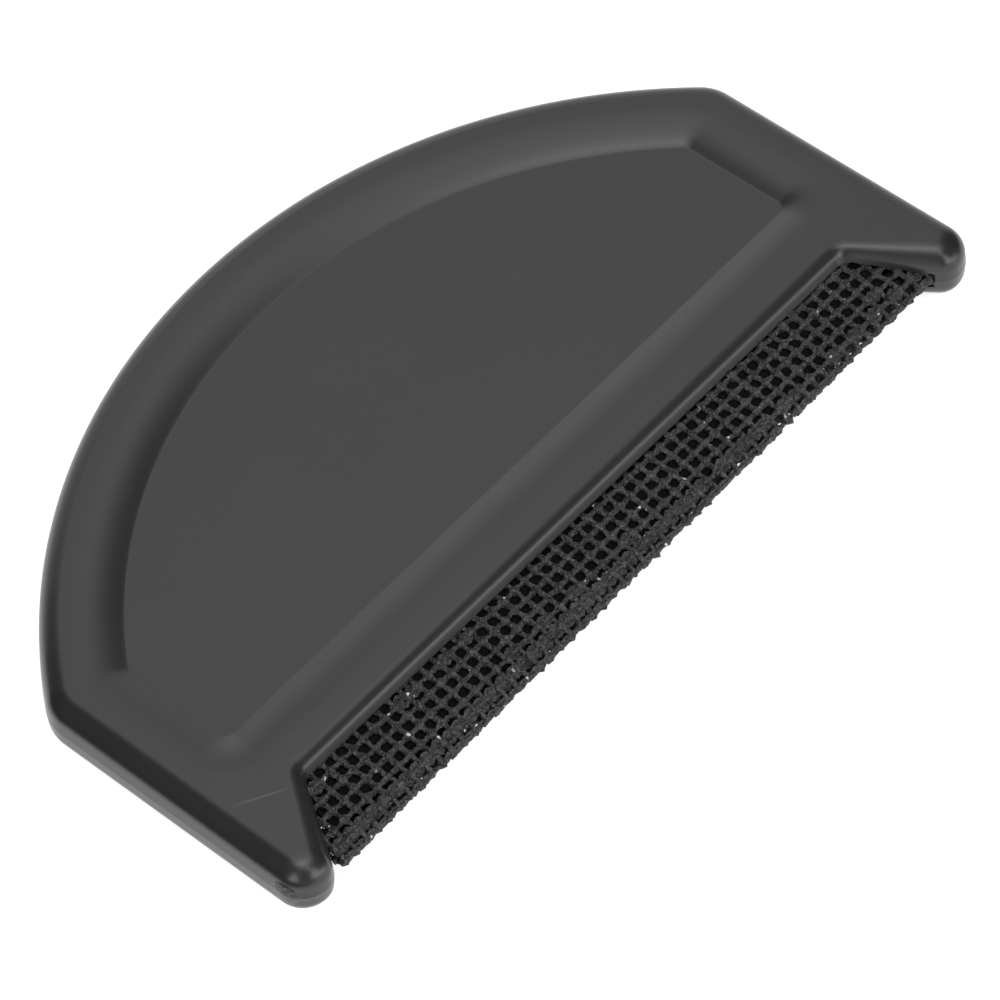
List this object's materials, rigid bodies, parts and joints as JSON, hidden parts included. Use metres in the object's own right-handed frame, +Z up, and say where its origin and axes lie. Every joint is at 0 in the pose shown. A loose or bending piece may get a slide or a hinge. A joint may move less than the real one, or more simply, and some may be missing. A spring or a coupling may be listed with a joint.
{
  "type": "sweater comb",
  "caption": "D-shaped hand comb for clothes: two welded plastic half shells with dished grip panels that clamp a folded abrasive mesh between two horns.",
  "frame": {"origin": "centre of the comb's box at its underside", "axes": "+X along the screen, -Y towards the working edge, +Y towards the curved back, +Z up"},
  "size_m": [0.09, 0.0518, 0.006],
  "materials": {
    "shell": "satin moulded black ABS",
    "screen": "grit coated open mesh, black",
    "former": "dull moulded black plastic"
  },
  "bodies": {
    "root": {"upper_shell": "shell", "lower_shell": "shell", "abrasive_screen": "screen", "screen_former": "former"}
  },
  "joints": []
}
